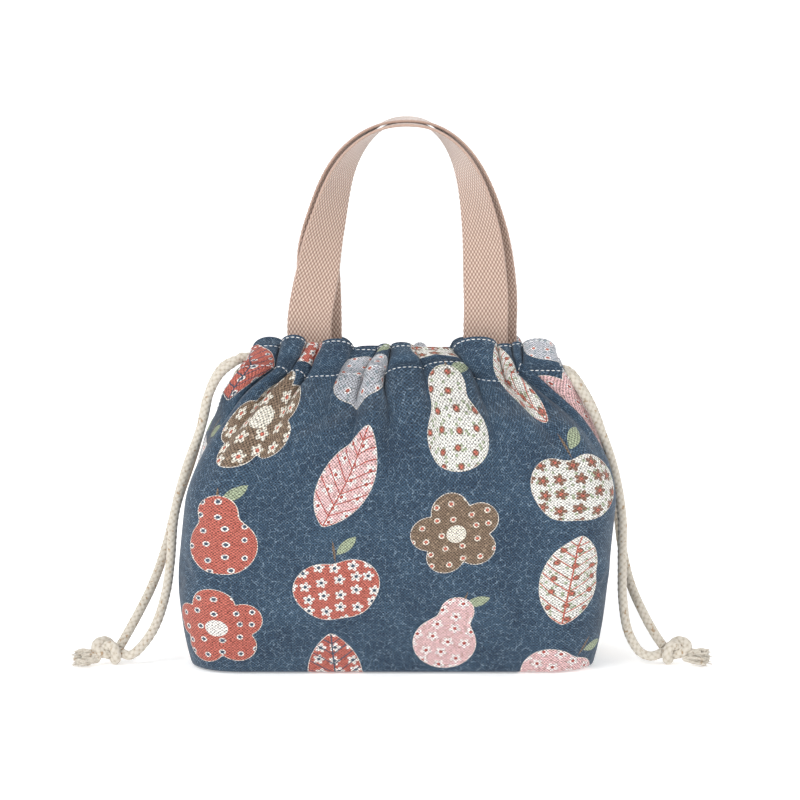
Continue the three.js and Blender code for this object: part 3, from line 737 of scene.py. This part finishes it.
def settle_cloth():
    """Each half's wall, by column and row: sewn up the sides, filled, and held at base and stitch line."""
    bm = bmesh.new()
    spots = {}
    cut = bm.verts.layers.float_vector.new("cut")
    for half, turn in enumerate((1, -1)):
        made = bmesh.ops.create_grid(bm, x_segments=COLUMNS, y_segments=WALL_ROWS, size=0.5)["verts"]
        for v in made:
            i, j = round((v.co.x + 0.5) * COLUMNS), round((v.co.y + 0.5) * WALL_ROWS)
            start, flat = sewn_shape(i / COLUMNS, j), cut_shape(i / COLUMNS, j)
            v.co = Vector((turn * start.x, turn * start.y, start.z)) * MM
            v[cut] = Vector((turn * flat.x, turn * flat.y, flat.z)) * MM
            spots[half, i, j] = v
    joined = {}
    for j in range(WALL_ROWS + 1):
        if j / WALL_ROWS * STITCH_HEIGHT <= SLIT_STOP:
            for mine, theirs in (((1, COLUMNS, j), (0, 0, j)), ((1, 0, j), (0, COLUMNS, j))):
                joined[spots[mine]] = spots[theirs]
                spots[mine] = spots[theirs]
    bmesh.ops.weld_verts(bm, targetmap=joined)
    bm.verts.index_update()
    order = {spot: v.index for spot, v in spots.items()}
    cut_points = {v.index: v[cut].copy() for v in bm.verts}
    mesh = bpy.data.meshes.new("settling")
    bm.to_mesh(mesh)
    bm.free()
    points = [v.co.copy() for v in mesh.vertices]
    shell = bpy.data.objects.new("settling", mesh)
    scene.collection.objects.link(shell)
    shell.shape_key_add(name="Basis")
    flat = shell.shape_key_add(name="cut")
    for i, p in cut_points.items():
        flat.data[i].co = p
    held = shell.vertex_groups.new(name="held")
    held.add(sorted({i for (_, _, j), i in order.items() if j in (0, WALL_ROWS)}), 1.0, "REPLACE")
    filled = shell.vertex_groups.new(name="filled")  # what is inside presses less towards the mouth
    for j in range(WALL_ROWS + 1):
        push = lerp(1, 0.25, smooth(90, 150, j / WALL_ROWS * STITCH_HEIGHT))
        filled.add(sorted({i for (_, _, row), i in order.items() if row == j}), push, "REPLACE")
    cloth = shell.modifiers.new("cloth", "CLOTH")
    s = cloth.settings
    s.quality, s.mass, s.air_damping = 6, 0.15, 2
    s.tension_stiffness, s.compression_stiffness, s.shear_stiffness, s.bending_stiffness = 25, 12, 8, 1.2
    s.tension_damping, s.compression_damping, s.shear_damping, s.bending_damping = 10, 10, 10, 1
    s.vertex_group_mass, s.rest_shape_key = "held", flat
    s.use_pressure, s.uniform_pressure_force, s.vertex_group_pressure = True, 7, "filled"
    s.effector_weights.gravity = 0
    cloth.collision_settings.use_collision = False
    cloth.point_cache.frame_start, cloth.point_cache.frame_end = 1, SETTLE_FRAMES
    for f in range(1, SETTLE_FRAMES + 1):
        scene.frame_set(f)
    settled = shell.evaluated_get(bpy.context.evaluated_depsgraph_get()).to_mesh()
    points = [v.co.copy() for v in settled.vertices]
    scene.frame_set(1)
    bpy.data.objects.remove(shell)
    return [
        [[points[order[half, i, j]] / MM for j in range(WALL_ROWS + 1)] for i in range(COLUMNS + 1)]
        for half in (0, 1)
    ]


def creased(p, facing):
    """The settled cloth with its creases, and the slight slump of the whole bag to one side."""
    at = Vector((facing * p.x, p.z))
    out = 0
    for stands, line in CREASES:
        near = None
        for k, (a, b) in enumerate(zip(line, line[1:])):
            a, b = Vector(a), Vector(b)
            t = min(max((at - a).dot(b - a) / (b - a).length_squared, 0), 1)
            off = at - a.lerp(b, t)
            if near is None or off.length < abs(near[0]):
                side = (b - a).x * (at - a).y - (b - a).y * (at - a).x
                near = math.copysign(off.length, side), (k + t) / (len(line) - 1)
        gap, along = near
        fade = smooth(0, 0.2, along) * (1 - smooth(0.6, 1, along))
        fall = math.exp(-gap / CREASE_BELOW) if gap > 0 else -CREASE_TUCK * math.exp(gap / CREASE_ABOVE)
        out += stands * fade * fall * (1 - math.exp(-abs(gap) / CREASE_EDGE))
    narrow = lerp(0.978, 1, smooth(60, 140, p.z))
    return Vector((p.x * narrow + slump(p.z), p.y - facing * out * smooth(4, 30, -facing * p.y), p.z))


def sew(bm, spots, length=2.2, width=0.6, height=0.5):
    """A row of stitches: each spot is a place, the way along and the way out."""
    for at, along, out in spots:
        side = out.cross(along).normalized()
        set_in = Matrix((along * length, side * width, side.cross(along) * height)).transposed().to_4x4()
        set_in.translation = at
        set_in = Matrix.Scale(MM, 4) @ set_in
        bmesh.ops.create_uvsphere(bm, u_segments=6, v_segments=4, radius=0.5, matrix=set_in)


def stitch_line(line, outs, pitch=3.0):
    """Even spots along a line of points, with the way out at each point."""
    spots, carry = [], pitch / 2
    for a, b, out in zip(line, line[1:], outs):
        span = (b - a).length
        if span < 1e-6:
            continue
        while carry <= span:
            spots.append((a.lerp(b, carry / span), (b - a) / span, out))
            carry += pitch
        carry -= span
    return spots


for half, (lip, points) in enumerate(zip(("front", "back"), settle_cloth())):
    facing = 1 if half == 0 else -1  # the back half is the front one turned round
    points = [[creased(p, facing) for p in col] for col in points]
    turned = [[Vector((facing * p.x, facing * p.y, p.z)) for p in col] for col in points]
    for i, col in enumerate(turned):
        col += [casing_at(i / COLUMNS, j / CASING_ROWS) for j in range(1, CASING_ROWS + 1)]

    def placed(at):
        """Where a spot of this half is in the bag."""
        slid = half * smooth(SLIT_STOP, STITCH_HEIGHT, at.z)
        return Vector((facing * at.x + BACK_SLIDE * slid, facing * at.y, at.z - BACK_DROP * slid))

    def eased(i, j):
        """A spot of the cloth and its way out, after its folds have been eased."""
        cols = [turned[min(max(i + step, 0), COLUMNS)] for step in (-1, 0, 1)]
        near = [[col[min(max(j + step, 0), FRONT_ROWS)] for step in (-1, 0, 1)] for col in cols]
        edges = near[0][1] + near[2][1] + near[1][0] + near[1][2]
        corners = near[0][0] + near[0][2] + near[2][0] + near[2][2]
        out = (near[2][1] - near[0][1]).cross(near[1][2] - near[1][0]).normalized()
        return near[1][1] * EASE[0] + edges * EASE[1] + corners * EASE[2], out

    def panel_at(i, row):
        """The canvas from the base's middle up the wall, over the casing and down behind the cords."""
        share = i / COLUMNS
        wide = (share - 0.5) * CUT_WIDTH + half * BACK_PRINT
        if row <= BASE_ROWS:
            up = row / BASE_ROWS
            at = Vector(((share - 0.5) * (BASE_WIDTH - BASE_INSET), -0.2, BASE_LIFT)).lerp(turned[i][0], up)
            at.z = BASE_LIFT
            tall = (up - 1) * BASE_DEPTH / 2
        elif row <= BASE_ROWS + FRONT_ROWS:
            j = row - BASE_ROWS
            at = turned[i][j].copy()
            tall = min(j / WALL_ROWS, 1) * CUT_WALL + max(j - WALL_ROWS, 0) / CASING_ROWS * CUT_CASING
        elif row == BASE_ROWS + FRONT_ROWS + 1:
            at = turned[i][FRONT_ROWS].lerp(casing_at(share, 1, True), 0.5) + Vector((0, 0, 1.9))
            tall = CUT_TOP + CUT_FOLD / 2
        else:
            j = CASING_ROWS - (row - BASE_ROWS - FRONT_ROWS - 2)
            at = casing_at(share, j / CASING_ROWS, True)
            tall = CUT_TOP + CUT_FOLD + (CASING_ROWS - j) / CASING_ROWS * CUT_CASING
        return placed(at), (wide, tall)

    bm = new_mesh()
    grid(bm, COLUMNS, BASE_ROWS + FRONT_ROWS + 2 + CASING_ROWS, panel_at)
    panel = piece(bm, lip + "_half", printed_canvas, "bag", "canvas", lip + "_panel", lip + "_casing")
    soft = panel.modifiers.new("soft", "SUBSURF")
    soft.levels = soft.render_levels = 1
    thick = panel.modifiers.new("cloth_thickness", "SOLIDIFY")
    thick.thickness, thick.offset = CLOTH * MM, -1

    # Stitches: under the casing, along its top edge, down its hemmed ends and along the slits.
    rows = [[(i, j) for i in range(1, COLUMNS)] for j in (WALL_ROWS, FRONT_ROWS)]
    rows += [[(i, j) for j in range(WALL_ROWS - 8, FRONT_ROWS)] for i in (1, COLUMNS - 1)]
    spots = []
    for row in rows:
        places = [eased(*spot) for spot in row]
        spots += stitch_line([at + out * STITCH_STAND for at, out in places], [out for at, out in places])
    bm = new_mesh()
    sew(bm, [
        (placed(at), Vector((facing * along.x, facing * along.y, along.z)),
         Vector((facing * out.x, facing * out.y, out.z))) for at, along, out in spots
    ])
    piece(bm, lip + "_stitches", thread, "bag", "canvas")

    # The lining, inside the deepest fold within seven columns and four rows of each spot, and over the base.
    inner = []
    for i in range(COLUMNS + 1):
        beside = turned[max(i - 7, 0) : i + 8]
        inner.append([])
        for j, at in enumerate(turned[i][:WALL_ROWS]):
            up = turned[i][min(j + 6, WALL_ROWS)] - turned[i][max(j - 6, 0)]
            out = (beside[-1][j] - beside[0][j]).cross(up).normalized()
            folds = [p for col in beside for p in col[max(j - 4, 0) : min(j + 5, WALL_ROWS + 1) : 2]]
            depth = max((at - p).dot(out) for p in folds if (p - at).length < 20)
            inner[i].append(at - out * (LINING_GAP + depth))

    def lining_at(i, row):
        """The lining from the base's middle up to just below the casing."""
        share = i / COLUMNS
        if row <= LINING_ROWS:
            up = row / LINING_ROWS
            at = Vector(((share - 0.5) * LINING_WIDTH, -0.3, 0)).lerp(turned[i][1], up)
            at.x, at.y, at.z = at.x * lerp(1, 0.985, up), lerp(at.y, at.y + 1.8, up), lerp(*LINING_LIFT, up)
            tall = (up - 1) * LINING_DEPTH
        else:
            j = min(row - LINING_ROWS + 1, WALL_ROWS - 1)
            at = Vector((inner[i][j].x, min(inner[i][j].y, -0.25), inner[i][j].z))
            tall = j / WALL_ROWS * CUT_WALL
        return placed(at), ((share - 0.5) * CUT_WIDTH, tall)

    bm = new_mesh()
    grid(bm, COLUMNS, LINING_ROWS + WALL_ROWS - 2, lining_at)
    lining = piece(bm, lip + "_calico", calico, "bag", "lining", lip + "_lining")
    thick = lining.modifiers.new("lining_thickness", "SOLIDIFY")
    thick.thickness, thick.offset = LINING * MM, -1


# ---- handles
STRAP_STEP, ARCH_STEPS, FACE_STEPS = 0.6, 400, 14


def strap_section():
    """Round a webbing's section: across it, its thickness share, and which edge it rounds."""
    corner = WEBBING_THICKNESS / 2
    half = WEBBING_WIDTH / 2 - corner
    face = [-half + 2 * half * i / FACE_STEPS for i in range(FACE_STEPS + 1)]
    edge = [math.radians(d) for d in (-60, -20, 20, 60)]
    ring = [(a, -1.0, 0) for a in face]
    ring += [(half + corner * math.cos(e), math.sin(e), 1) for e in edge]
    ring += [(a, 1.0, 0) for a in reversed(face)]
    ring += [(-half - corner * math.cos(e), -math.sin(e), -1) for e in edge]
    return ring


for lip, sign, power, nest, shift in (
    ("front", -1, ARCH_POWER[0], 0, 0), ("back", 1, ARCH_POWER[1], HANDLE_NEST, BACK_SHIFT),
):
    path = [Vector((shift - HANDLE_SPAN / 2, sign * SEWN_OFFSET, SEWN_FOOT))]
    for i in range(ARCH_STEPS + 1):
        t = i / ARCH_STEPS * math.pi
        rise = max(math.sin(t), 0) ** (2 / power)
        reach = math.copysign(abs(math.cos(t)) ** (2 / power), -math.cos(t))
        pinch = ARCH_PINCH[reach > 0] * (smooth(0, 0.3, rise) - smooth(0.5, 0.85, rise))
        slide = shift * (1 - smooth(0, 0.4 if reach < 0 else 1, rise))
        bow = BACK_BOW * math.sin(math.pi * rise) if shift and reach < 0 else 0
        path.append(Vector((
            reach * (HANDLE_SPAN / 2 + nest * rise) + HANDLE_SHIFT * rise
            - math.copysign(pinch, reach) + slide - bow,
            lerp(sign * SEWN_OFFSET, sign * HANDLE_SPREAD / 2, rise),
            BEND_HEIGHT + (HANDLE_RISE + nest) * rise,
        )))
    path.append(Vector((shift + HANDLE_SPAN / 2, sign * SEWN_OFFSET, SEWN_FOOT)))
    path = even_steps(path, STRAP_STEP)
    ring = strap_section()
    frames = []
    for j, at in enumerate(path):
        ahead = path[min(j + 2, len(path) - 1)] - path[max(j - 2, 0)]
        along = Vector((ahead.x, 0, ahead.z)).normalized()
        rise = max(at.z - BEND_HEIGHT, 0) / (HANDLE_RISE + nest)
        steady = max(rise - TWIST_START, 0) / (1 - TWIST_START)
        twist = TWIST * lerp(steady, steady**8, TWIST_LATE)
        wide = Vector((-along.z, 0, along.x)) * math.cos(twist) + Vector((0, -1, 0)) * math.sin(twist)
        frames.append((wide, along.cross(wide)))

    def strap_at(i, j):
        """The strap's surface. Along its edges the weft turns back, and half a float shows evenly."""
        a, b, edge = ring[i % len(ring)]
        nick = WEFT_TURN * math.cos(math.tau * j * STRAP_STEP / FLOAT_ALONG) * edge
        wide, deep = frames[j]
        at = path[j] + wide * (a + nick) + deep * b * WEBBING_THICKNESS / 2
        return at, (edge * 6.25 * FLOAT_ACROSS or a, j * STRAP_STEP)

    bm = new_mesh()
    close_tube(bm, grid(bm, len(ring), len(path) - 1, strap_at), len(ring))
    strap = piece(
        bm, lip + "_strap", webbing, None, "webbing", lip + "_handle",
        f"{lip}_handle_left_sewn_end", f"{lip}_handle_right_sewn_end",
    )
    pivot = sign * SEWN_OFFSET * MM
    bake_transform(strap, "bag", lip + "_handle", start=(0, pivot, 0.184), end=(0, pivot, 0.222))


# ---- floor and light
# Matt white seamless paper, with the faint mottle of its coating and a painted glow of light.
paper, tree, surface = finish("white_paper", roughness=0.95, ior=1.4, emission_color=(1, 1, 1, 1))
spot = node(tree, "TexCoord").outputs["Object"]
far = node(tree, "VectorMath", spot, operation="LENGTH").outputs["Value"]
painted_glow = node(tree, "MapRange", far, 0.4, 1.6, 0.35, 0.46)  # painted light: the paper glows, more so away from the object
tree.links.new(painted_glow.outputs[0], surface.inputs["Emission Strength"])
spot = node(tree, "TexNoise", spot, named={"Scale": 1 / 0.3, "Detail": 2})
shade = node(tree, "ValToRGB", spot.outputs[0], stops=[(0.3, linear("#f6f6f6")), (0.7, linear("#fafafa"))])
coat(tree, surface, shade)
FLOOR, SWEEP, WALL = 5000, 1500, 3500  # mm: the flat floor's radius, the bend round it and the wall over that
FLOOR_SIDES, FLOOR_RINGS = 48, 40


def paper_at(i, j):
    """The paper, which bends up all round into a wall."""
    turn, run = -math.tau * i / FLOOR_SIDES, j / FLOOR_RINGS * (FLOOR + math.pi / 2 * SWEEP + WALL)
    bend = min(max((run - FLOOR) / SWEEP, 0), math.pi / 2)
    out = min(run, FLOOR) + SWEEP * math.sin(bend)
    at = out * math.cos(turn), out * math.sin(turn)
    return Vector((*at, SWEEP * (1 - math.cos(bend)) + max(run - FLOOR - math.pi / 2 * SWEEP, 0))), at


bm = new_mesh()
grid(bm, FLOOR_SIDES, FLOOR_RINGS, paper_at)
bmesh.ops.remove_doubles(bm, verts=bm.verts, dist=1e-5)
finished(bm, "paper_floor", paper)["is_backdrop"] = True

world = bpy.data.worlds.new("studio")
world.use_nodes = True
sky = world.node_tree.nodes["Background"].inputs
sky["Color"].default_value, sky["Strength"].default_value = (1, 1, 1, 1), 0.24
scene.world = world
for name, place, size, power in (  # metres and watts
    ("key", (-0.9, -1.15, 1.25), 0.8, 15),
    ("fill", (1.2, -1.1, 0.9), 1.0, 4),
    ("top", (0.1, 0.6, 1.8), 1.4, 11),
):
    lamp = bpy.data.objects.new(name, bpy.data.lights.new(name, "AREA"))
    lamp.data.size, lamp.data.energy = size, power
    lamp.location = place
    lamp.rotation_euler = (Vector((0, 0, 0.12)) - Vector(place)).to_track_quat("-Z", "Y").to_euler()
    scene.collection.objects.link(lamp)
scene.view_settings.view_transform = "Standard"

size = {"cad": [list(map(float, c)) for c in cad_box], "visual": [list(map(float, c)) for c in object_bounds()]}
